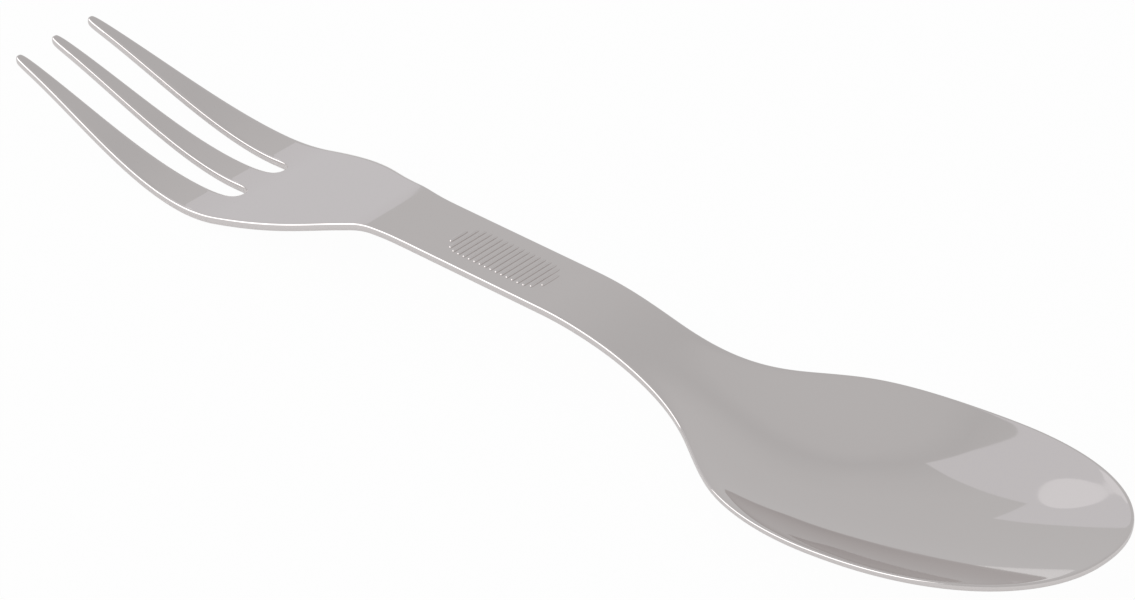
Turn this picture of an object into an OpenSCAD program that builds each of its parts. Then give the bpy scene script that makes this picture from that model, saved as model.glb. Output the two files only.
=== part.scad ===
// Double-ended camp spork, pressed from one strip of polished stainless steel.
// Fork tines at the -X end, spoon bowl at the +X end, lying on a table at z = 0.
// The strip is one piece of metal. Its zones are separate solids that meet face
// to face on flat cuts across the strip, so each zone can be named and used alone.

/* [Sheet] */
// Thickness of the steel in the fork and the handle
sheet_thickness = 1.3; // [1:0.1:2]
// Thickness of the steel in the bowl, which the press draws thinner
bowl_thickness = 1; // [0.8:0.1:1.6]

/* [Fork] */
// Length of the tines, from their tips to the closed ends of the slots
tine_length = 44.5; // [36:0.5:54]
// Width across the fork at the roots of the tines
fork_width = 24.2; // [21:0.2:28]
// Width across the tips of the two outer tines
tip_spread = 16.4; // [14:0.2:18]
// Width of each tine at its rounded tip
tine_tip_width = 1.7; // [1.2:0.1:2.2]
// Width of the middle tine at its root
middle_tine_root = 5.2; // [4:0.1:5.8]
// Width of each slot at its closed end
slot_width = 3.2; // [2.8:0.1:4]
// Length of the palm, from the slot ends to the handle
palm_length = 33; // [26:1:40]
// Distance from the slot ends to the place where the palm runs flat
palm_foot = 2; // [0:0.5:6]
// Length of the short bend between the flat palm and the handle
bend_length = 3.5; // [2:0.5:8]
// Distance from that bend to the start of the handle's straight stretch
bend_offset = 4.5; // [2:0.5:10]
// Height of the tine tips above the table, measured to their top face
tip_height = 9; // [5:0.1:12]

/* [Handle] */
// Width of the handle
handle_width = 12.1; // [10:0.1:15]
// Length of the straight stretch of the handle
grip_length = 28; // [26:1:40]
// Height of the handle's top face where the straight stretch starts at the fork
handle_height = 9.9; // [8:0.1:13]
// Rise of the straight stretch towards the spoon, in degrees
grip_tilt = 1.5; // [0:0.1:4]

/* [Thumb pad] */
// Distance from the start of the straight stretch to the pad
pad_offset = 6.5; // [1:0.5:7]
// Length of the ribbed pad
pad_length = 18.4; // [10:0.2:20]
// Width of the ribbed pad
pad_width = 7; // [6.2:0.2:9]
// Radius of the pad's corners
pad_corner = 3; // [1:0.1:3.4]
// Distance from one rib to the next
rib_pitch = 1.04; // [0.9:0.02:1.6]
// Width of a rib where it leaves the handle
rib_width = 0.56; // [0.5:0.02:0.88]
// Height of a rib above the handle
rib_height = 0.24; // [0.1:0.02:0.34]

/* [Spoon] */
// Length of the bent neck between the straight stretch and the bowl
neck_length = 27; // [20:1:36]
// Height of the neck's top face where the dish of the bowl begins
neck_height = 9; // [7:0.1:12]
// Length of the bowl, from the neck to its tip
bowl_length = 68.5; // [56:0.5:80]
// Width of the bowl across its rim
bowl_width = 40.4; // [34:0.2:46]
// Height of the rim above the table at its lowest point, near the neck
rim_low_height = 5.9; // [5:0.1:7]
// Height of the rim above the table at the widest place of the bowl
rim_height = 7.5; // [7:0.1:10]
// Height of the rim above the table at the tip of the bowl
bowl_tip_height = 12.2; // [10:0.1:15]
// How far the edge of the rim is rolled down where it is lowest
roll_drop = 0.4; // [0:0.1:0.8]
// Width of the rolled edge of the rim
roll_width = 2; // [1:0.1:3]

/* [Hidden] */

// How far cutting shapes run past what they cut
overrun = 1;
// Straight steps in each bend of the fork
bend_steps = 10;
// Stations along the neck and along the bowl, and steps across them
neck_steps = 12;
bowl_steps = 30;
across_steps = 20;
// Straight steps round the tip of a tine
tip_steps = 12;
// Facets of small round shapes
$fn = 48;

// Stations along the strip
total_length = tine_length + palm_length + grip_length + neck_length + bowl_length;
tip_x = -total_length / 2;
slot_end_x = tip_x + tine_length;
grip_start_x = slot_end_x + palm_length;
grip_end_x = grip_start_x + grip_length;
bowl_start_x = grip_end_x + neck_length;
bowl_tip_x = bowl_start_x + bowl_length;

// The slots end in half circles, and the tines end where those begin
slot_radius = slot_width / 2;
slot_y = middle_tine_root / 2 + slot_radius;
tine_root_x = slot_end_x - slot_radius;

// The tines end in half circles too
tine_tip_radius = tine_tip_width / 2;
tip_centre_x = tip_x + tine_tip_radius;

// Side profile of the fork and handle: the tines dip to the table, the palm
// climbs to the handle, and the handle runs straight through the thumb pad
fork_low_share = 0.85;
fork_low_x = tip_x + fork_low_share * tine_length;
tip_climb_share = 0.88;
tip_climb = tip_climb_share * (sheet_thickness - tip_height) / (fork_low_x - tip_x);
grip_climb = tan(grip_tilt);
grip_end_height = handle_height + grip_climb * grip_length;

// The palm is flat, with one even bend below it and a short one at the handle.
// In an even bend the strip climbs at the mean of the slopes at its two ends
palm_foot_x = slot_end_x + palm_foot;
bend_end_x = grip_start_x - bend_offset;
bend_start_x = bend_end_x - bend_length;
bend_end_height = handle_height - grip_climb * bend_offset;
palm_run = (palm_foot_x - fork_low_x) / 2 + (bend_start_x - palm_foot_x) + bend_length / 2;
palm_climb = (bend_end_height - grip_climb * bend_length / 2 - sheet_thickness) / palm_run;
palm_foot_height = sheet_thickness + palm_climb * (palm_foot_x - fork_low_x) / 2;
bend_start_height = palm_foot_height + palm_climb * (bend_start_x - palm_foot_x);

// The neck bends down to the place where the dish begins
dish_start_share = 0.56;
dish_start_x = grip_end_x + dish_start_share * neck_length;
neck_climb_share = 2.1;
neck_climb = neck_climb_share * (neck_height - grip_end_height) / (dish_start_x - grip_end_x);

// Each profile is a list of knots: place along the strip, height, and slope there
sheet_profile = [
    [tip_x, tip_height, tip_climb],
    [fork_low_x, sheet_thickness, 0],
    [palm_foot_x, palm_foot_height, palm_climb],
    [bend_start_x, bend_start_height, palm_climb],
    [bend_end_x, bend_end_height, grip_climb],
    [grip_end_x, grip_end_height, grip_climb],
    [dish_start_x, neck_height, neck_climb]
];

// Rim of the bowl seen from the side
rim_low_share = 0.11;
rim_low_x = bowl_start_x + rim_low_share * bowl_length;
bowl_wide_share = 0.5;
bowl_wide_x = bowl_start_x + bowl_wide_share * bowl_length;
rim_climb = (bowl_tip_height - rim_height) / (bowl_tip_x - bowl_wide_x);
rim_profile = [
    [grip_end_x, grip_end_height, grip_climb],
    [dish_start_x, neck_height, neck_climb],
    [rim_low_x, rim_low_height, 0],
    [bowl_wide_x, rim_height, rim_climb],
    [bowl_tip_x, bowl_tip_height, rim_climb]
];

// Middle of the bowl seen from the side: it touches the table once, and ends at the rim
bowl_bottom_share = 0.34;
bowl_bottom_x = bowl_start_x + bowl_bottom_share * bowl_length;
bowl_tip_climb_share = 1.7;
bowl_tip_climb = bowl_tip_climb_share * (bowl_tip_height - bowl_thickness) / (bowl_tip_x - bowl_bottom_x);
middle_profile = [
    [grip_end_x, grip_end_height, grip_climb],
    [dish_start_x, neck_height, neck_climb],
    [bowl_bottom_x, bowl_thickness, 0],
    [bowl_tip_x, bowl_tip_height, bowl_tip_climb]
];

// The roll of the rim begins with the dish, is full where the rim is lowest, and fades
// out towards the tip
roll_profile = [
    [grip_end_x, 0, 0],
    [dish_start_x, 0, 0],
    [rim_low_x, roll_drop, 0],
    [bowl_tip_x, 0, 0]
];

// The steel thins from the handle to the bottom of the bowl
thickness_profile = [
    [grip_end_x, sheet_thickness, 0],
    [bowl_bottom_x, bowl_thickness, 0],
    [bowl_tip_x, bowl_thickness, 0]
];

// Outline of the strip seen from above: place along it, half width, and slope
tine_flare_share = 1.05;
tine_flare = tine_flare_share * (fork_width - tip_spread) / 2 / (slot_end_x - tip_centre_x);
shoulder_share = 0.58;
shoulder_x = slot_end_x + shoulder_share * palm_length;
shoulder_half_width = (fork_width + handle_width) / 4;
shoulder_slope_share = 2.35;
shoulder_slope = shoulder_slope_share * (handle_width - fork_width) / 2 / palm_length;
flare_share = 0.4;
flare_x = grip_end_x + flare_share * neck_length;
// Share of the bowl's length, share of its width, and slope in those shares
bowl_outline_shares = [[0.07, 0.275, 1.15], [0.235, 0.439, 0.57], [bowl_wide_share, 0.5, 0]];
strip_outline = concat(
    [
        [tip_centre_x, tip_spread / 2, tine_flare],
        [slot_end_x, fork_width / 2, 0],
        [shoulder_x, shoulder_half_width, shoulder_slope],
        [grip_start_x, handle_width / 2, 0],
        [flare_x, handle_width / 2, 0]
    ],
    [for (row = bowl_outline_shares)
        [bowl_start_x + row[0] * bowl_length, row[1] * bowl_width, row[2] * bowl_width / bowl_length]]
);
// The front of the bowl is a quarter of a slightly full ellipse
bowl_front_power = 2.17;

// Inner edges of the outer tines, seen from above: they turn inwards towards the roots
slot_edge_slope_shares = [0.5, 1.5];
slot_edge_start = tip_spread / 2 - tine_tip_width;
slot_edge_end = slot_y + slot_radius;
slot_edge_slope = (slot_edge_end - slot_edge_start) / (tine_root_x - tip_centre_x);
slot_outline = [
    [tip_centre_x, slot_edge_start, slot_edge_slope_shares[0] * slot_edge_slope],
    [tine_root_x, slot_edge_end, slot_edge_slope_shares[1] * slot_edge_slope]
];

// How full the dish is across: 2 is a parabola, more is flatter below and steeper at the rim
dish_power = 2.19;

// Segment of a list of knots that holds x
function segment(knots, x) = max([for (i = [0:len(knots) - 2]) x >= knots[i][0] ? i : 0]);

// Height of the smooth curve through the knots at x
function curve(knots, x) =
    let (
        i = segment(knots, x),
        a = knots[i],
        b = knots[i + 1],
        span = b[0] - a[0],
        u = (x - a[0]) / span
    )
    a[1] * (1 + 2 * u) * (1 - u) ^ 2 + b[1] * u ^ 2 * (3 - 2 * u)
    + span * (a[2] * u * (1 - u) ^ 2 - b[2] * u ^ 2 * (1 - u));

// Slope of the same curve at x
function slope(knots, x) =
    let (
        i = segment(knots, x),
        a = knots[i],
        b = knots[i + 1],
        span = b[0] - a[0],
        u = (x - a[0]) / span
    )
    6 * u * (1 - u) * (b[1] - a[1]) / span
    + a[2] * (1 - u) * (1 - 3 * u) + b[2] * u * (3 * u - 2);

// Evenly spaced places from start to end
function spread(start, end, steps) = [for (i = [0:steps]) start + (end - start) * i / steps];

// A list without its first entry
function rest(list) = [for (i = [1:len(list) - 1]) list[i]];

// A list from its last entry to its first
function reversed(list) = [for (i = [len(list) - 1:-1:0]) list[i]];

// Half width of the strip at x
function half_width(x) =
    x <= bowl_wide_x
        ? curve(strip_outline, x)
        : let (u = (x - bowl_wide_x) / (bowl_tip_x - bowl_wide_x))
          bowl_width / 2 * max(0, 1 - u ^ bowl_front_power) ^ (1 / bowl_front_power);

// Distance from a place on the spoon to its rim, seen from above
function rim_distance(x, y) =
    x <= bowl_wide_x
        ? half_width(x) - abs(y)
        : let (
              ahead = (x - bowl_wide_x) / (bowl_tip_x - bowl_wide_x),
              beside = 2 * abs(y) / bowl_width,
              oval = (ahead ^ bowl_front_power + beside ^ bowl_front_power) ^ (1 / bowl_front_power)
          )
          (1 / oval - 1) * norm([x - bowl_wide_x, y]);

// Upright depth of a sheet that is this thick across its slope
function upright(thickness, climb) = thickness * sqrt(1 + climb ^ 2);

// Underside of the bent sheet in the fork and handle
function underside(x) = curve(sheet_profile, x) - upright(sheet_thickness, slope(sheet_profile, x));

// Top face of the spoon at x, where v runs from -1 at the near rim to 1 at the far rim
function spoon_top(x, v) =
    let (
        y = v * half_width(x),
        roll = curve(roll_profile, x),
        crest = curve(rim_profile, x) + roll,
        dish = (crest - curve(middle_profile, x)) * (1 - abs(v) ^ dish_power),
        near_rim = max(0, 1 - rim_distance(x, y) / roll_width)
    )
    [x, y, crest - dish - roll * near_rim ^ 2];

// Underside of the spoon straight below that point
function spoon_under(x, v) =
    let (depth = upright(curve(thickness_profile, x), slope(middle_profile, x)))
    spoon_top(x, v) - [0, 0, depth];

// Side view of the bent sheet through the given stations, extruded across the strip
module bent_sheet(stations) {
    top = [for (x = stations) [x, curve(sheet_profile, x)]];
    under = [for (x = stations) [x, underside(x)]];
    rotate([90, 0, 0])
        linear_extrude(height = fork_width + 2 * overrun, center = true)
            polygon(concat(top, reversed(under)));
}

// A flat outline cut down through the bent sheet
module cut_from_sheet(stations) {
    intersection() {
        bent_sheet(stations);
        translate([0, 0, -overrun])
            linear_extrude(height = max(tip_height, grip_end_height) + 2 * overrun)
                children();
    }
}

// Stations that pass through the low point of the fork, and through the palm
tine_stations = concat(
    spread(tip_x, fork_low_x, bend_steps),
    rest(spread(fork_low_x, tine_root_x, bend_steps / 2))
);
palm_stations = concat(
    spread(tine_root_x, palm_foot_x, bend_steps),
    spread(bend_start_x, bend_end_x, bend_steps),
    [grip_start_x]
);

// Half circle round the tip of a tine, from its +Y side to its -Y side
function tip_arc(y) = [for (turn = spread(90, 270, tip_steps))
    [tip_centre_x + tine_tip_radius * cos(turn), y + tine_tip_radius * sin(turn)]];

// Middle tine: a straight taper with a round tip
module middle_tine() {
    root = [[tine_root_x, -middle_tine_root / 2], [tine_root_x, middle_tine_root / 2]];
    color("silver")
        cut_from_sheet(tine_stations)
            polygon(concat(tip_arc(0), root));
}

// Outer tine on the +Y side: curved edges and the same round tip
module outer_tine() {
    along = rest(spread(tip_centre_x, tine_root_x, bend_steps));
    outer_edge = [for (x = along) [x, half_width(x)]];
    inner_edge = [for (x = along) [x, curve(slot_outline, x)]];
    cut_from_sheet(tine_stations)
        polygon(concat(tip_arc(tip_spread / 2 - tine_tip_radius), inner_edge, reversed(outer_edge)));
}

module far_tine() {
    color("silver")
        outer_tine();
}

module near_tine() {
    color("silver")
        mirror([0, 1, 0])
            outer_tine();
}

// Palm: from the round slot ends through the shoulders to the handle
module fork_palm() {
    along = concat(
        spread(tine_root_x, shoulder_x, bend_steps),
        rest(spread(shoulder_x, grip_start_x, bend_steps))
    );
    far_edge = [for (x = along) [x, half_width(x)]];
    near_edge = [for (x = along) [x, -half_width(x)]];
    color("silver")
        cut_from_sheet(palm_stations)
            difference() {
                polygon(concat(far_edge, reversed(near_edge)));
                for (side = [-1, 1])
                    translate([tine_root_x, side * slot_y])
                        circle(r = slot_radius);
            }
}

// Handle: the straight stretch, flat on both faces
module handle() {
    color("silver")
        cut_from_sheet([grip_start_x, grip_end_x])
            translate([grip_start_x, -handle_width / 2])
                square([grip_length, handle_width]);
}

// Outline of the thumb pad, a rectangle with round corners
module pad_outline() {
    square([pad_length - 2 * pad_corner, pad_width], center = true);
    square([pad_length, pad_width - 2 * pad_corner], center = true);
    for (side_x = [-1, 1], side_y = [-1, 1])
        translate([side_x * (pad_length / 2 - pad_corner), side_y * (pad_width / 2 - pad_corner)])
            circle(r = pad_corner);
}

// Thumb ribs: a row of low round ridges across the handle, trimmed to the pad
module thumb_ribs() {
    pad_x = grip_start_x + pad_offset + pad_length / 2;
    rib_count = floor((pad_length - rib_width) / rib_pitch) + 1;
    rib_radius = (rib_height ^ 2 + (rib_width / 2) ^ 2) / (2 * rib_height);
    first_rib = -(rib_count - 1) * rib_pitch / 2;
    color("gainsboro")
        translate([pad_x, 0, curve(sheet_profile, pad_x)])
            rotate([0, -grip_tilt, 0])
                intersection() {
                    for (i = [0:rib_count - 1])
                        translate([first_rib + i * rib_pitch, 0, rib_height - rib_radius])
                            rotate([90, 0, 0])
                                cylinder(r = rib_radius, h = pad_width, center = true);
                    linear_extrude(height = rib_height)
                        pad_outline();
                }
}

// Two triangles for the four-sided patch a, b, c, d
function patch(a, b, c, d) = [[a, b, c], [a, c, d]];

// Solid between the top face and the underside of the spoon at the given stations,
// with its steps across closer together towards the rim.
// A pointed solid closes at the tip of the bowl after its last station.
module spoon_solid(stations, pointed = false) {
    row = across_steps + 1;
    ring = 2 * row;
    last = len(stations) - 1;
    places = [for (turn = spread(-90, 90, across_steps)) sin(turn)];
    sections = [for (x = stations) each concat(
        [for (v = places) spoon_top(x, v)],
        [for (v = places) spoon_under(x, v)]
    )];
    tip_top = len(sections);
    tip_under = tip_top + 1;
    tip_points = pointed ? [spoon_top(bowl_tip_x, 0), spoon_under(bowl_tip_x, 0)] : [];
    end = last * ring;
    skins = [for (i = [0:last - 1], j = [0:across_steps - 1])
        let (a = i * ring + j, b = a + ring)
        each concat(patch(a, a + 1, b + 1, b), patch(a + row, b + row, b + row + 1, a + row + 1))];
    edges = [for (i = [0:last - 1])
        let (near = i * ring, far = near + across_steps)
        each concat(
            patch(near, near + ring, near + ring + row, near + row),
            patch(far, far + row, far + ring + row, far + ring)
        )];
    start_face = [for (j = [0:across_steps - 1]) each patch(j, j + row, j + row + 1, j + 1)];
    flat_end = [for (j = [0:across_steps - 1]) each patch(end + j, end + j + 1, end + j + row + 1, end + j + row)];
    far_end = end + across_steps;
    pointed_end = concat(
        [for (j = [0:across_steps - 1]) [end + j, end + j + 1, tip_top]],
        [for (j = [0:across_steps - 1]) [end + j + row, tip_under, end + j + row + 1]],
        patch(end, tip_top, tip_under, end + row),
        patch(far_end, far_end + row, tip_under, tip_top)
    );
    polyhedron(
        points = concat(sections, tip_points),
        faces = concat(skins, edges, start_face, pointed ? pointed_end : flat_end)
    );
}

// Neck: bends down from the handle, flares and begins to dish
module spoon_neck() {
    color("silver")
        spoon_solid(spread(grip_end_x, bowl_start_x, neck_steps));
}

// Bowl: a drawn shell with an oval rim, its stations closer together towards the tip
module spoon_bowl() {
    stations = [for (i = [0:bowl_steps - 1]) bowl_start_x + bowl_length * sin(90 * i / bowl_steps)];
    color("silver")
        spoon_solid(stations, pointed = true);
}

near_tine();
middle_tine();
far_tine();
fork_palm();
handle();
thumb_ribs();
spoon_neck();
spoon_bowl();
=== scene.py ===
# %% [markdown]
# # A double-ended spork, pressed from one strip of stainless steel
# The real spork starts as a flat blank that is cut from sheet steel. A press then bends the
# handle, curls the tines and draws the bowl, and a polishing wheel rounds every edge and leaves
# a mirror. This lesson draws the blank, gives it thickness, rounds its edges, presses it, raises
# the thumb ribs and polishes. All sizes are in metres, in the part's own frame.

# %% Load the part that sets every size
import math

import bmesh
import bpy
from mathutils import Matrix, Vector


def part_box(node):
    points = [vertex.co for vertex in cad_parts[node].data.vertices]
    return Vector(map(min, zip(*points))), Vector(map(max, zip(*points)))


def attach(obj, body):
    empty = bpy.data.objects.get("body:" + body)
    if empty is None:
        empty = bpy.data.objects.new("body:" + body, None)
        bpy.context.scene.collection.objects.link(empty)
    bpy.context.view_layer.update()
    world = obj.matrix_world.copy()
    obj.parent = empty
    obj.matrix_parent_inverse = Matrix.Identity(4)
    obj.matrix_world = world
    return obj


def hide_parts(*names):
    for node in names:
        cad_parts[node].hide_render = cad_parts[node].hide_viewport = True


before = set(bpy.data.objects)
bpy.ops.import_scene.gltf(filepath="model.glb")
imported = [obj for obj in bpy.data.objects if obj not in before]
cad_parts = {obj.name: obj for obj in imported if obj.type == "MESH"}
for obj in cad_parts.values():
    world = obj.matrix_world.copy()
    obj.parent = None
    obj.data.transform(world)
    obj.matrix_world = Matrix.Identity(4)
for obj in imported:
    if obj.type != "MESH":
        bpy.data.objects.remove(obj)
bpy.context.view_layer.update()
print("solids of the part:", sorted(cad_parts))

# %% [markdown]
# ## Sizes
# The solids already hold the real sizes, so lengths, widths and most heights are read from their
# boxes. Only what a box can't tell, such as a height in the middle of a curve, is written here.

# %% Read the sizes from the solids
mm = 0.001
middle_low, middle_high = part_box("middle_tine")
outer_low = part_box("far_tine")[0]
palm_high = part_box("fork_palm")[1]
grip_low, grip_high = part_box("handle")
bowl_low, bowl_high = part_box("spoon_bowl")

tip_x = middle_low.x
tine_root_x = middle_high.x
grip_start_x = grip_low.x
grip_end_x = grip_high.x
bowl_start_x = bowl_low.x
bowl_tip_x = bowl_high.x
half_fork = palm_high.y
half_handle = grip_high.y
half_bowl = bowl_high.y
half_middle_root = middle_high.y
outer_root_inside = outer_low.y
slot_radius = (outer_root_inside - half_middle_root) / 2
slot_y = (outer_root_inside + half_middle_root) / 2
slot_end_x = tine_root_x + slot_radius
palm_length = grip_start_x - slot_end_x
neck_length = bowl_start_x - grip_end_x
bowl_length = bowl_tip_x - bowl_start_x

sheet_thickness = 1.3 * mm
bowl_thickness = 1.0 * mm
tip_width = 1.7 * mm
half_tip_spread = 8.2 * mm
tip_centre_x = tip_x + tip_width / 2
print(f"length {(bowl_tip_x - tip_x) / mm:.1f} mm, bowl {2 * half_bowl / mm:.1f} mm wide")

# %% [markdown]
# ## Smooth curves
# The side view and the outline of the strip are smooth curves through a few knots. A knot holds
# a place along the strip, a height or width there, and the slope. Between two knots a cubic
# curve takes up both slopes, which is what a spring steel ruler does between two pins.


# %% A smooth curve through knots
def curve(knots, x):
    """Height at x of the smooth curve through knots of place, height and slope."""
    last = len(knots) - 2
    start = max([0] + [i for i in range(last + 1) if x >= knots[i][0]])
    x0, y0, slope0 = knots[start]
    x1, y1, slope1 = knots[start + 1]
    span = x1 - x0
    u = (x - x0) / span
    ends = y0 * (1 + 2 * u) * (1 - u) ** 2 + y1 * u ** 2 * (3 - 2 * u)
    return ends + span * (slope0 * u * (1 - u) ** 2 - slope1 * u ** 2 * (1 - u))


print(f"halfway up a slope that starts and ends level: {curve([(0, 0, 0), (1, 1, 0)], 0.5):.2f}")

# %% [markdown]
# ## The outline
# Seen from above, the blank is wide at the fork, narrow at the handle and oval at the bowl. It could
# be traced with hundreds of points, but a mirror finish shows every small bump. So a few knots give
# the long edges, and one formula gives the front of the bowl, an oval a little fuller than an
# ellipse.

# %% The long edge, seen from above
shoulder_share = 0.58
shoulder_slope_share = 2.35
tine_flare_share = 1.05
flare_share = 0.4
bowl_wide_share = 0.5
bowl_outline_shares = [(0.07, 0.55, 1.15), (0.235, 0.878, 0.57), (bowl_wide_share, 1, 0)]

bowl_wide_x = bowl_start_x + bowl_wide_share * bowl_length
tine_flare = tine_flare_share * (half_fork - half_tip_spread) / (slot_end_x - tip_centre_x)
outline = [
    (tip_centre_x, half_tip_spread, tine_flare),
    (slot_end_x, half_fork, 0),
    (
        slot_end_x + shoulder_share * palm_length,
        (half_fork + half_handle) / 2,
        shoulder_slope_share * (half_handle - half_fork) / palm_length,
    ),
    (grip_start_x, half_handle, 0),
    (grip_end_x + flare_share * neck_length, half_handle, 0),
]
bowl_slope = 2 * half_bowl / bowl_length
for along, wide, slope in bowl_outline_shares:
    outline.append((bowl_start_x + along * bowl_length, wide * half_bowl, slope * bowl_slope))
print(f"{len(outline)} knots, and the bowl is widest at x = {bowl_wide_x / mm:.1f} mm")

# %% The inner edge of an outer tine
slot_edge_shares = [0.5, 1.5]
slot_edge_start = half_tip_spread - tip_width
slot_edge_slope = (outer_root_inside - slot_edge_start) / (tine_root_x - tip_centre_x)
slot_edge = [
    (tip_centre_x, slot_edge_start, slot_edge_shares[0] * slot_edge_slope),
    (tine_root_x, outer_root_inside, slot_edge_shares[1] * slot_edge_slope),
]
print(f"from tip to root the edge runs in by {(slot_edge_start - outer_root_inside) / mm:.2f} mm")

# %% Widths, and distances from the rim
front_power = 2.17
front_length = bowl_tip_x - bowl_wide_x


def front_oval(x, y):
    """How far out a place in the front of the bowl lies: 0 in the middle, 1 on the rim."""
    ahead = (x - bowl_wide_x) / front_length
    beside = abs(y) / half_bowl
    return (ahead ** front_power + beside ** front_power) ** (1 / front_power)


def half_width(x):
    """Half width of the strip at x."""
    if x <= bowl_wide_x:
        return curve(outline, x)
    ahead = (x - bowl_wide_x) / front_length
    return half_bowl * max(0.0, 1 - ahead ** front_power) ** (1 / front_power)


def rim_distance(x, y):
    """Distance from a place on the blank to its edge."""
    if x <= bowl_wide_x:
        return half_width(x) - abs(y)
    return (1 / front_oval(x, y) - 1) * math.hypot(x - bowl_wide_x, y)


print(f"half width at the end of the neck {half_width(bowl_start_x) / mm:.1f} mm")

# %% [markdown]
# ## The die
# The two halves of the press, its dies, have the shape of the finished spork: tines that curl up, a
# palm that climbs, a straight handle and a bowl. The bends could be made by turning rows of points
# by hand, but then slopes only nearly meet, and a mirror shows it. Curves that share their knots
# and slopes meet exactly.

# %% The die, seen from the side: the fork, the palm and the handle
fork_low_share = 0.85
tip_climb_share = 0.88
grip_tilt = math.radians(1.5)
palm_foot = 2 * mm
bend_length = 3.5 * mm
bend_offset = 4.5 * mm

grip_climb = math.tan(grip_tilt)
palm_foot_x = slot_end_x + palm_foot
bend_end_x = grip_start_x - bend_offset
bend_start_x = bend_end_x - bend_length
tip_height = middle_high.z
grip_end_height = grip_high.z
handle_height = grip_end_height - grip_climb * (grip_end_x - grip_start_x)
fork_low_x = tip_x + fork_low_share * (slot_end_x - tip_x)

# The palm is flat, with one even bend below it and a short one at the handle
palm_run = (palm_foot_x - fork_low_x) / 2 + (bend_start_x - palm_foot_x) + bend_length / 2
bend_end_height = handle_height - grip_climb * (grip_start_x - bend_end_x)
palm_climb = (bend_end_height - grip_climb * bend_length / 2 - sheet_thickness) / palm_run
palm_foot_height = sheet_thickness + palm_climb * (palm_foot_x - fork_low_x) / 2
bend_start_height = palm_foot_height + palm_climb * (bend_start_x - palm_foot_x)
print(f"the palm climbs at {math.degrees(math.atan(palm_climb)):.1f} degrees")

# %% The die, seen from the side: the whole strip up to the dish
dish_start_share = 0.56
neck_climb_share = 2.1
neck_height = 9 * mm
dish_start_x = grip_end_x + dish_start_share * neck_length
neck_climb = neck_climb_share * (neck_height - grip_end_height) / (dish_start_x - grip_end_x)
strip_side = [
    (tip_x, tip_height, tip_climb_share * (sheet_thickness - tip_height) / (fork_low_x - tip_x)),
    (fork_low_x, sheet_thickness, 0),
    (palm_foot_x, palm_foot_height, palm_climb),
    (bend_start_x, bend_start_height, palm_climb),
    (bend_end_x, bend_end_height, grip_climb),
    (grip_end_x, grip_end_height, grip_climb),
    (dish_start_x, neck_height, neck_climb),
]
print(f"the dish starts at x = {dish_start_x / mm:.1f} mm")

# %% The die, seen from the side: the rim of the bowl
rim_low_share = 0.11
rim_low_x = bowl_start_x + rim_low_share * bowl_length
rim_low_height = 5.9 * mm
rim_height = 7.5 * mm
bowl_tip_height = bowl_high.z
rim_climb = (bowl_tip_height - rim_height) / (bowl_tip_x - bowl_wide_x)
rim_side = [
    (dish_start_x, neck_height, neck_climb),
    (rim_low_x, rim_low_height, 0),
    (bowl_wide_x, rim_height, rim_climb),
    (bowl_tip_x, bowl_tip_height, rim_climb),
]

# The sides of the rim are rolled down a little, so that they don't cut the lip
roll_drop = 0.4 * mm
roll_width = 2 * mm
roll_side = [(dish_start_x, 0, 0), (rim_low_x, roll_drop, 0), (bowl_tip_x, 0, 0)]
print(f"the rim climbs from {rim_low_height / mm:.1f} to {bowl_tip_height / mm:.1f} mm")

# %% The die, seen from the side: the middle of the bowl
bowl_bottom_share = 0.34
bowl_tip_climb_share = 1.7
bowl_bottom_x = bowl_start_x + bowl_bottom_share * bowl_length
bowl_rise = (bowl_tip_height - bowl_thickness) / (bowl_tip_x - bowl_bottom_x)
middle_side = [
    (dish_start_x, neck_height, neck_climb),
    (bowl_bottom_x, bowl_thickness, 0),
    (bowl_tip_x, bowl_tip_height, bowl_tip_climb_share * bowl_rise),
]
print(f"the bowl is deepest at x = {bowl_bottom_x / mm:.1f} mm")

# %% The die from any place
dish_power = 2.19


def die_height(x, y):
    """Height of the pressed steel's top face at a place on the blank."""
    if x <= dish_start_x:
        return curve(strip_side, x)
    across = min(1.0, abs(y) / max(half_width(x), roll_width))
    roll = curve(roll_side, x)
    crest = curve(rim_side, x) + roll
    near_rim = min(1.0, max(0.0, 1 - rim_distance(x, y) / roll_width))
    return crest - (crest - curve(middle_side, x)) * (1 - across ** dish_power) - roll * near_rim ** 2


print(f"top of the handle {die_height(grip_end_x, 0) / mm:.2f} mm up")

# %% [markdown]
# ## The flat blank
# One half of the blank is drawn, and a mirror makes the other. A plane is the straight stretch
# of the handle. It is cut into rows, and the row at its end is then extruded on, place after
# place, and laid along the outline. The alternative, a traced outline filled with one big face,
# gives no rows for the press to bend, and a mirror finish would show every wrong facet.

# %% Helpers that lay rows of points
touch = 0.01 * mm


def select_points(piece, indices):
    """Select these vertices of the piece in edit mode, and nothing else."""
    chosen = set(indices)
    shape = bmesh.from_edit_mesh(piece.data)
    for point in shape.verts:
        point.select = point.index in chosen
    shape.select_flush_mode()
    bmesh.update_edit_mesh(piece.data)


def lay_row(piece, row, places):
    """Extrude a row of vertices and lay the new ones, in the same order, at the places."""
    select_points(piece, row)
    bpy.ops.mesh.extrude_edges_move()
    shape = bmesh.from_edit_mesh(piece.data)
    shape.verts.index_update()
    fresh = sorted((point for point in shape.verts if point.select), key=lambda point: point.co.y)
    moves = [(point.index, Vector((x, y, 0)) - point.co) for point, (x, y) in zip(fresh, places)]
    for index, move in moves:
        select_points(piece, [index])
        bpy.ops.transform.translate(value=move)
    return [index for index, move in moves]


def spread(start, end, steps):
    """Evenly spaced places after start, up to and with end."""
    return [start + (end - start) * i / steps for i in range(1, steps + 1)]


print("a spread of four steps:", spread(0, 1, 4))

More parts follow.
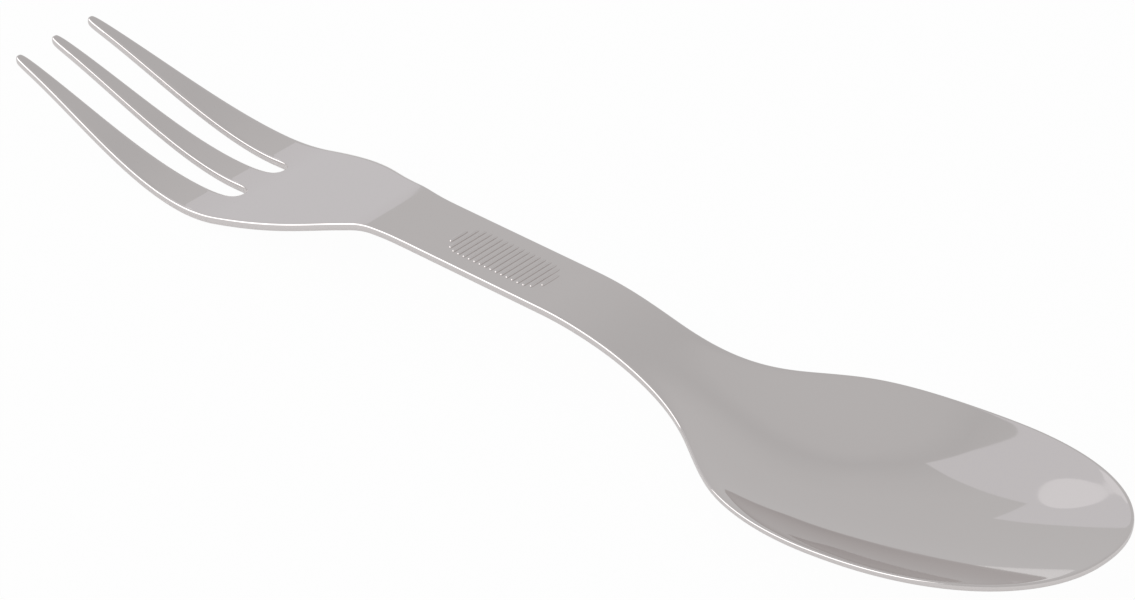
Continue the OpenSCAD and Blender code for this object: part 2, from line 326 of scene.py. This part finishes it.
# %% The straight stretch of the handle
rows = 8
bpy.ops.object.select_all(action="DESELECT")
bpy.ops.mesh.primitive_plane_add(size=1)
strip = bpy.context.object
strip.name = "spork_strip"
bpy.ops.object.mode_set(mode="EDIT")
bpy.ops.transform.resize(value=(grip_end_x - grip_start_x, half_handle, 1), center_override=(0, 0, 0))
bpy.ops.transform.translate(value=((grip_start_x + grip_end_x) / 2, half_handle / 2, 0))
bpy.ops.mesh.subdivide(number_cuts=rows - 1)


def row_at(piece, x):
    """Vertices of the blank that lie at x, in order of their y."""
    shape = bmesh.from_edit_mesh(piece.data)
    shape.verts.index_update()
    found = [point for point in shape.verts if abs(point.co.x - x) < touch]
    return [point.index for point in sorted(found, key=lambda point: point.co.y)]


print("points in the straight stretch:", len(bmesh.from_edit_mesh(strip.data).verts))

# %% The neck and the back of the bowl
neck_and_bowl_steps = 22
row_shares = [i / rows for i in range(rows + 1)]
row = row_at(strip, grip_end_x)
for x in spread(grip_end_x, bowl_wide_x, neck_and_bowl_steps):
    row = lay_row(strip, row, [(x, share * half_width(x)) for share in row_shares])
print("points up to the widest place:", len(bmesh.from_edit_mesh(strip.data).verts))

# %% The front of the bowl
# From the widest place on, the rows turn about the middle of the bowl like the spokes of a fan
front_steps = 14


def front_place(turn, share):
    """Place in the bowl's front, at this turn from the side and this share of the way out."""
    along = math.sin(turn) ** (2 / front_power)
    across = math.cos(turn) ** (2 / front_power)
    return bowl_wide_x + share * front_length * along, share * half_bowl * across


for turn in spread(0, math.pi / 2, front_steps):
    row = lay_row(strip, row, [front_place(turn, share) for share in row_shares])
print("points with the bowl:", len(bmesh.from_edit_mesh(strip.data).verts))

# %% The palm
core_share = 0.3
slot_turn = math.cos(math.radians(45))
slot_rows = [0, core_share * half_middle_root, half_middle_root]
slot_rows += [slot_y - slot_radius * slot_turn, slot_y, slot_y + slot_radius * slot_turn]
slot_rows += [outer_root_inside, (outer_root_inside + half_fork) / 2, half_fork]
palm_start_x = slot_end_x + slot_radius
crease_steps = 2
bend_steps = 4
climb_steps = 6


def palm_places(x):
    """Places of the palm's rows at x: they run from the handle's rows to the slot's."""
    u = (x - palm_start_x) / (grip_start_x - palm_start_x)
    blend = u * u * (3 - 2 * u)
    pairs = zip(slot_rows, row_shares)
    shares = [(1 - blend) * slot / half_fork + blend * share for slot, share in pairs]
    return [(x, share * half_width(x)) for share in shares]


palm_stations = spread(grip_start_x, bend_end_x, crease_steps)
palm_stations += spread(bend_end_x, bend_start_x, bend_steps)
palm_stations += spread(bend_start_x, palm_start_x, climb_steps)
row = row_at(strip, grip_start_x)
for x in palm_stations:
    row = lay_row(strip, row, palm_places(x))
print("points with the palm:", len(bmesh.from_edit_mesh(strip.data).verts))

# %% The round ends of the slots
# The rows between the tines stop on a half circle, drawn a little large because the
# rounding that comes later pulls a curved edge in
slot_swell = 1.1
slot_ends = []
for y in slot_rows:
    beside = (y - slot_y) / slot_radius
    reach = slot_radius * slot_swell * math.sqrt(max(0.0, 1 - beside ** 2))
    slot_ends.append((tine_root_x + reach, y))
slot_row = lay_row(strip, row, slot_ends)
print("points with the slot ends:", len(bmesh.from_edit_mesh(strip.data).verts))

# %% The middle tine
tine_steps = 11
tine_rows = 3
tip_share = 0.6
tip_reach = tip_share * tip_width / 2


def half_middle(x):
    """Half width of the middle tine at x."""
    u = (x - tip_centre_x) / (tine_root_x - tip_centre_x)
    return tip_width / 2 + (half_middle_root - tip_width / 2) * u


tine_stations = spread(tine_root_x, tip_centre_x, tine_steps)
middle_edges = [(x, half_middle(x)) for x in tine_stations] + [(tip_x, tip_reach)]
row = slot_row[:tine_rows]
for x, wide in middle_edges:
    row = lay_row(strip, row, [(x, 0), (x, core_share * wide), (x, wide)])
print("points with half the middle tine:", len(bmesh.from_edit_mesh(strip.data).verts))

# %% The outer tine
outer_tip_y = half_tip_spread - tip_width / 2
outer_edges = [(x, curve(slot_edge, x), half_width(x)) for x in tine_stations]
outer_edges.append((tip_x, outer_tip_y - tip_reach, outer_tip_y + tip_reach))
row = slot_row[-tine_rows:]
for x, inside, outside in outer_edges:
    row = lay_row(strip, row, [(x, inside), (x, (inside + outside) / 2), (x, outside)])

# The spokes of the bowl's front share their inner end, so those points become one
bpy.ops.mesh.select_all(action="SELECT")
bpy.ops.mesh.remove_doubles(threshold=touch)
bpy.ops.object.mode_set(mode="OBJECT")
print("points in half the blank:", len(strip.data.vertices))

# %% Mirror the blank and mark its edge
edge_round = 0.45 * mm
mirror = strip.modifiers.new("other_half", "MIRROR")
mirror.use_axis = (False, True, False)
mirror.merge_threshold = touch
bpy.ops.object.modifier_apply(modifier=mirror.name)
bpy.ops.object.mode_set(mode="EDIT")
bpy.ops.mesh.select_all(action="SELECT")
bpy.ops.mesh.normals_make_consistent(inside=False)
if sum(face.normal.z for face in bmesh.from_edit_mesh(strip.data).faces) < 0:
    bpy.ops.mesh.flip_normals()
bpy.ops.mesh.inset(thickness=edge_round, use_boundary=True, use_even_offset=True)
print("faces in the blank:", len(bmesh.from_edit_mesh(strip.data).faces))
bpy.ops.object.mode_set(mode="OBJECT")

# %% [markdown]
# ## Thickness and rounded edges
# Solidify gives the flat blank its thickness, with less of it where the bowl will be drawn. The
# narrow ring of faces along the outline then makes Subdivision Surface turn the square edge into
# the round one that a polishing wheel leaves. Both come before the press, while the blank is flat:
# its faces stay true planes, and the rounding can't pull a curve out of shape.

# %% Depth of the sheet, and weights from it
probe = 0.1 * mm


def sheet_depth(x):
    """Upright depth of the sheet at x, so that it keeps its thickness across a slope."""
    u = min(1.0, max(0.0, (x - grip_end_x) / (bowl_bottom_x - grip_end_x)))
    thickness = sheet_thickness + (bowl_thickness - sheet_thickness) * u * u * (3 - 2 * u)
    climb = (die_height(x + probe, 0) - die_height(x - probe, 0)) / (2 * probe)
    return thickness * math.hypot(1, climb)


def weigh(piece, name, values):
    """Vertex group whose weights are these values as shares of their largest."""
    group = piece.vertex_groups.new(name=name)
    largest = max(values)
    for index, value in enumerate(values):
        group.add([index], value / largest, "REPLACE")
    return group.name


print(f"depth of the sheet in the handle {sheet_depth(grip_start_x) / mm:.2f} mm")

# %% Give the blank its thickness
depths = [sheet_depth(point.co.x) for point in strip.data.vertices]
wall = strip.modifiers.new("sheet", "SOLIDIFY")
wall.thickness = max(depths)
wall.offset = -1
wall.vertex_group = weigh(strip, "sheet_depth", depths)
bpy.ops.object.modifier_apply(modifier=wall.name)
print(f"depth from {min(depths) / mm:.2f} to {max(depths) / mm:.2f} mm")

# %% Round its edges
polish = strip.modifiers.new("polished_round", "SUBSURF")
polish.levels = 2
polish.render_levels = 2
bpy.ops.object.modifier_apply(modifier=polish.name)
print("faces in the strip:", len(strip.data.polygons))

# %% [markdown]
# ## The press
# A press closes on the blank and lifts each place of it to the height of the die. A Displace
# modifier does the same in one stroke: it lifts every point straight up, by the share of the stroke
# that a vertex group holds for it. Points moved one by one would end up alike, but much slower.

# %% Press the blank
heights = [die_height(point.co.x, point.co.y) for point in strip.data.vertices]
press = strip.modifiers.new("press", "DISPLACE")
press.direction = "Z"
press.mid_level = 0
press.strength = max(heights)
press.vertex_group = weigh(strip, "die_height", heights)
bpy.ops.object.modifier_apply(modifier=press.name)
strip.vertex_groups.clear()
bpy.ops.object.shade_smooth()
print(f"stroke of the press {max(heights) / mm:.2f} mm")

# %% The strip stands for every zone of the solids but the ribs
strip_zones = [
    "near_tine", "middle_tine", "far_tine", "fork_palm", "handle", "spoon_neck", "spoon_bowl",
]
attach(strip, "root")
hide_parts(*strip_zones)
print("the strip stands for", len(strip_zones), "zones")

# %% [markdown]
# ## The thumb ribs
# A second die presses a pad of low cross ribs into the top of the handle, so that a wet thumb
# holds. Flat strips of the handle show between them. One rib is a half-sunk bar with rounded ends:
# a cube, with a short extrusion at each end, made round by Subdivision Surface. It is copied along
# the pad, and each copy's ends are moved to the pad's rounded outline. A bump texture would be
# quicker, but the ends would catch no light.

# %% The pad, and the sizes of a rib
pad_low, pad_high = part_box("thumb_ribs")
pad_middle_x = (pad_low.x + pad_high.x) / 2
half_pad_width = pad_high.y
half_pad_length = (pad_high.x - pad_low.x) / 2
pad_corner = 3 * mm
rib_count = 18
rib_pitch = 1.04 * mm
rib_size = Vector((0.6, 2, 0.58)) * mm
rib_sunk = 0.03 * mm
rib_end = 0.3 * mm
rib_end_share = 0.8
print(f"pad {2 * half_pad_length / mm:.1f} mm long and {2 * half_pad_width / mm:.1f} mm wide")

# %% One rib
bpy.ops.object.select_all(action="DESELECT")
bpy.ops.mesh.primitive_cube_add(size=1)
rib = bpy.context.object
rib.name = "thumb_rib_ridges"
bpy.ops.object.mode_set(mode="EDIT")
bpy.ops.transform.resize(value=rib_size, center_override=(0, 0, 0))
for side in (-1, 1):
    end = [point.index for point in bmesh.from_edit_mesh(rib.data).verts if point.co.y * side > 0]
    select_points(rib, end)
    bpy.ops.mesh.extrude_region_move(TRANSFORM_OT_translate={"value": (0, side * rib_end, 0)})
    bpy.ops.transform.resize(value=(rib_end_share, 1, rib_end_share), center_override=(0, 0, 0))
    bmesh.from_edit_mesh(rib.data).verts.index_update()
bpy.ops.object.mode_set(mode="OBJECT")
loaf = rib.modifiers.new("loaf", "SUBSURF")
loaf.levels = 3
loaf.render_levels = 3
bpy.ops.object.modifier_apply(modifier=loaf.name)
bpy.ops.object.shade_smooth()
half_rib = max(point.co.y for point in rib.data.vertices)
print(f"one rib is {2 * half_rib / mm:.2f} mm long")

# %% How long each rib is
corner_x = half_pad_length - pad_corner


def half_rib_length(along):
    """Half length of the rib that lies this far along the pad from its middle."""
    past = max(0.0, abs(along) - corner_x)
    return half_pad_width - pad_corner + math.sqrt(pad_corner ** 2 - past ** 2)


print(f"the middle ribs are {2 * half_rib_length(0) / mm:.1f} mm long")

# %% Copy the rib and lay the copies along the pad
ribs = [rib]
for i in range(1, rib_count):
    bpy.ops.object.duplicate(linked=False)
    ribs.append(bpy.context.object)
for i, copy in enumerate(ribs):
    along = (i - (rib_count - 1) / 2) * rib_pitch
    x = pad_middle_x + along
    grow = half_rib_length(along) - half_rib
    bpy.ops.object.select_all(action="DESELECT")
    copy.select_set(True)
    bpy.context.view_layer.objects.active = copy
    bpy.ops.object.mode_set(mode="EDIT")
    for side in (-1, 1):
        points = bmesh.from_edit_mesh(copy.data).verts
        select_points(copy, [point.index for point in points if point.co.y * side > 0])
        bpy.ops.transform.translate(value=(0, side * grow, 0))
    bpy.ops.mesh.select_all(action="SELECT")
    bpy.ops.transform.translate(value=(x, 0, die_height(x, 0) - rib_sunk))
    bpy.ops.object.mode_set(mode="OBJECT")
print(f"{len(ribs)} ribs, {rib_pitch / mm:.2f} mm apart")

# %% Join the ribs to one piece
bpy.ops.object.select_all(action="DESELECT")
for copy in ribs:
    copy.select_set(True)
bpy.context.view_layer.objects.active = rib
bpy.ops.object.join()
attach(rib, "root")
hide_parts("thumb_ribs")
print("faces in the ribs:", len(rib.data.polygons))

# %% [markdown]
# ## The polished steel
# The steel is plain stainless, mirror polished on a wheel and not plated. It has no colour of its
# own but a faint warm grey, so nearly all that shows is the studio around it. One smooth value would
# do for a mirror, but three small faults keep it from looking computed: a haze of finger grease,
# which changes the roughness over a centimetre or so, hairlines from the wheel, and a slow wave that
# the press left.


# %% Colour and node helpers
def linear(colour):
    """Linear colour, with alpha, of an sRGB hex value."""
    channels = [int(colour[i:i + 2], 16) / 255 for i in (1, 3, 5)]
    return [c / 12.92 if c <= 0.04045 else ((c + 0.055) / 1.055) ** 2.4 for c in channels] + [1]


def add_node(tree, kind, settings=None, links=None):
    """Add a node, give its properties or inputs their values, and link its inputs."""
    node = tree.nodes.new(kind)
    for name, value in (settings or {}).items():
        if isinstance(name, int) or name in node.inputs:
            node.inputs[name].default_value = value
        else:
            setattr(node, name, value)
    for name, source in (links or {}).items():
        tree.links.new(source, node.inputs[name])
    return node


print("half bright grey is linear", round(linear("#808080")[0], 3))

# %% The three faults of the polish
haze_size = 11 * mm
haze_noise = (0.3, 0.7)
haze_roughness = (0.02, 0.05)
# Real hairlines are finer: these are drawn wide enough to show
hairline_size = Vector((9, 0.25, 9)) * mm
hairline_turn = math.radians(24)
hairline_noise = (0.62, 0.78)
hairline_roughness = (0.0, 0.035)
wave_size = 14 * mm
wave_height = 0.003 * mm
print(f"roughness from {haze_roughness[0]} to {haze_roughness[1] + hairline_roughness[1]}")

# %% Mirror-polished stainless steel: haze and hairlines
# The eye gets a sharp image of the studio, a little dulled where the haze is
steel = bpy.data.materials.new("mirror_polished_stainless_steel")
steel.use_nodes = True
tree = steel.node_tree
tree.nodes.clear()
place = add_node(tree, "ShaderNodeTexCoord").outputs["Object"]
haze = add_node(tree, "ShaderNodeTexNoise", {"Scale": 1 / haze_size, "Detail": 3}, {"Vector": place})
along = add_node(tree, "ShaderNodeMapping", {
    "vector_type": "TEXTURE",
    "Rotation": (0, 0, hairline_turn),
    "Scale": hairline_size,
}, {"Vector": place})
hairlines = add_node(tree, "ShaderNodeTexNoise", {"Scale": 1.0, "Detail": 2}, {
    "Vector": along.outputs["Vector"],
})
fine = add_node(tree, "ShaderNodeMapRange", {
    "From Min": hairline_noise[0],
    "From Max": hairline_noise[1],
    "To Min": hairline_roughness[0],
    "To Max": hairline_roughness[1],
}, {"Value": hairlines.outputs[0]})
soft = add_node(tree, "ShaderNodeMapRange", {
    "From Min": haze_noise[0],
    "From Max": haze_noise[1],
    "To Min": haze_roughness[0],
    "To Max": haze_roughness[1],
}, {"Value": haze.outputs[0]})
rough = add_node(tree, "ShaderNodeMath", {"operation": "ADD"}, {0: soft.outputs[0], 1: fine.outputs[0]})
print("nodes for the roughness:", len(tree.nodes))

# %% Mirror-polished stainless steel: the wave and the colour
wave = add_node(tree, "ShaderNodeTexNoise", {"Scale": 1 / wave_size, "Detail": 1}, {"Vector": place})
press_wave = add_node(tree, "ShaderNodeBump", {"Strength": 1.0, "Distance": wave_height}, {
    "Height": wave.outputs[0],
})
surface = add_node(tree, "ShaderNodeBsdfPrincipled", {
    "Base Color": linear("#e0dbda"),
    "Metallic": 1.0,
}, {"Roughness": rough.outputs[0], "Normal": press_wave.outputs[0]})
add_node(tree, "ShaderNodeOutputMaterial", links={"Surface": surface.outputs["BSDF"]})
for piece in [strip, rib] + list(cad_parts.values()):
    piece.data.materials.clear()
    piece.data.materials.append(steel)
print("nodes in", steel.name, len(tree.nodes))

# %% [markdown]
# ## The studio
# A pale table under a soft grey dome, and three soft lights: a window and a lamp at the far left,
# whose mirror images are the light wedge and the oval in the bowl, and a bright panel at the near
# left that draws the white lines along the near edges. The mirror shows all of it, so the studio is
# as much a part of the look as the steel. A picture of a studio, wrapped around the scene, would be
# quicker, but here each light can be moved until its image falls in the right place.

# %% The table
table_size = 4
table_gap = 0.02 * mm
bpy.ops.object.select_all(action="DESELECT")
bpy.ops.mesh.primitive_plane_add(size=table_size, location=(0, 0, -table_gap))
table = bpy.context.object
table.name = "table"
print(f"table {table_size} m wide, {table_gap / mm} mm below the spork")

# %% The white paper on the table
# Nearly white to the camera. In the steel it is part white and part plain lit paper
seen_share = 0.97
mirrored_share = 0.36
paper = bpy.data.materials.new("white_table_paper")
paper.use_nodes = True
tree = paper.node_tree
tree.nodes.clear()
path = add_node(tree, "ShaderNodeLightPath")
mirrored = add_node(tree, "ShaderNodeMath", {"operation": "MAXIMUM"}, {
    0: path.outputs["Is Glossy Ray"],
    1: path.outputs["Is Transmission Ray"],
})
mirrored_white = add_node(tree, "ShaderNodeMath", {"operation": "MULTIPLY", 1: mirrored_share}, {
    0: mirrored.outputs[0],
})
seen_white = add_node(tree, "ShaderNodeMath", {"operation": "MULTIPLY", 1: seen_share}, {
    0: path.outputs["Is Camera Ray"],
})
whitened = add_node(tree, "ShaderNodeMath", {"operation": "MAXIMUM"}, {
    0: seen_white.outputs[0],
    1: mirrored_white.outputs[0],
})
matt = add_node(tree, "ShaderNodeBsdfDiffuse", {"Color": linear("#f4f4f4")})
white = add_node(tree, "ShaderNodeEmission", {"Color": linear("#ffffff"), "Strength": 1.0})
mix = add_node(tree, "ShaderNodeMixShader", links={
    0: whitened.outputs[0], 1: matt.outputs[0], 2: white.outputs[0],
})
add_node(tree, "ShaderNodeOutputMaterial", links={"Surface": mix.outputs[0]})
table.data.materials.append(paper)
print("nodes in", paper.name, len(tree.nodes))

# %% The dome
world = bpy.data.worlds.new("studio_dome")
bpy.context.scene.world = world
world.use_nodes = True
tree = world.node_tree
tree.nodes.clear()
direction = add_node(tree, "ShaderNodeTexCoord")
height = add_node(tree, "ShaderNodeSeparateXYZ", links={0: direction.outputs["Generated"]})
dome = add_node(tree, "ShaderNodeValToRGB", links={0: height.outputs["Z"]})
# Elevation in degrees and level: the ceiling has a darker belt above the walls
dome_levels = [(0, 0.605), (20, 0.605), (33, 0.605), (42, 0.59), (50, 0.56), (57, 0.59), (90, 0.6)]
ramp = dome.color_ramp
while len(ramp.elements) < len(dome_levels):
    ramp.elements.new(1.0)
for element, (elevation, level) in zip(ramp.elements, dome_levels):
    element.position = math.sin(math.radians(elevation))
    element.color = (level, level, level, 1)
sky = add_node(tree, "ShaderNodeBackground", {"Strength": 1.0}, {"Color": dome.outputs[0]})
add_node(tree, "ShaderNodeOutputWorld", links={"Surface": sky.outputs[0]})
print("levels in the dome:", len(ramp.elements))

# %% The window
window_level = 0.7
window_middle = Vector((-0.64, 0.325, 0.42))
# Distances to the left of the middle and above it, in metres, as the spork sees the window
window_corners = [
    (0.5, 0.345), (0.012, 0.318), (-0.053, 0), (-0.163, -0.075),
    (-0.15, -0.165), (-0.15, -0.42), (0.5, -0.42),
]
facing = window_middle.to_track_quat("Z", "Y").to_matrix()
corners = [window_middle + facing @ Vector((left, up, 0)) for left, up in window_corners]
pane = bpy.data.meshes.new("far_window")
pane.from_pydata(corners, [], [list(range(len(corners)))])
window = bpy.data.objects.new("far_window", pane)
bpy.context.scene.collection.objects.link(window)
# Like a lamp, it shows in the steel and not to the camera
window.visible_camera = False
daylight = bpy.data.materials.new("soft_daylight")
daylight.use_nodes = True
tree = daylight.node_tree
tree.nodes.clear()
glow = add_node(tree, "ShaderNodeEmission", {"Color": linear("#fdfdff"), "Strength": window_level})
add_node(tree, "ShaderNodeOutputMaterial", links={"Surface": glow.outputs[0]})
pane.materials.append(daylight)
print("corners of the window:", len(corners))


# %% The soft panels
def add_panel(name, shape, middle, size, roll, radiance):
    """White panel that faces the spork, rolled by degrees about its own axis, with this radiance."""
    data = bpy.data.lights.new(name, "AREA")
    data.shape = shape
    data.size, data.size_y = size
    data.energy = radiance * math.pi * data.size * data.size_y
    if shape == "ELLIPSE":
        data.energy *= math.pi / 4
    panel = bpy.data.objects.new(name, data)
    bpy.context.scene.collection.objects.link(panel)
    panel.location = middle
    facing = middle.to_track_quat("Z", "Y").to_matrix()
    panel.rotation_euler = (facing @ Matrix.Rotation(math.radians(roll), 3, "Z")).to_euler()


add_panel(
    "far_lamp", "ELLIPSE",
    middle=Vector((-0.622, 0.291, 0.425)), size=(0.22, 0.058), roll=43, radiance=0.125,
)
add_panel(
    "near_panel", "RECTANGLE",
    middle=Vector((-0.83, -1.07, 0.5)), size=(1.9, 1.1), roll=0, radiance=1.3,
)
print("lamps:", sorted(light.name for light in bpy.data.lights))

# %% [markdown]
# ## The camera
# A long lens looks down at the spork from beyond the bowl, with the fork at the far left. It is
# turned by one degree about its own axis, as a camera held by hand is. A wide lens close by could
# frame it as well, but it would make the near end of the spork look too large.

# %% The camera
picture_width = 1135
focal_pixels = 5500
view_azimuth = math.radians(43.241)
view_elevation = math.radians(34.564)
view_roll = math.radians(-0.964)
view_distance = 785.8 * mm
view_centre = Vector((-4.91, 10.3, -1.09)) * mm

camera_data = bpy.data.cameras.new("camera")
camera_data.lens = camera_data.sensor_width * focal_pixels / picture_width
camera = bpy.data.objects.new("camera", camera_data)
bpy.context.scene.collection.objects.link(camera)
turn = Matrix.Rotation(view_azimuth, 3, "Z") @ Matrix.Rotation(math.pi / 2 - view_elevation, 3, "X")
camera.location = view_centre + turn @ Vector((0, 0, view_distance))
camera.rotation_euler = (turn @ Matrix.Rotation(view_roll, 3, "Z")).to_euler()
bpy.context.scene.camera = camera
bpy.context.scene.view_settings.view_transform = "Standard"
print(f"lens {camera_data.lens:.1f} mm on a sensor {camera_data.sensor_width:.0f} mm wide")
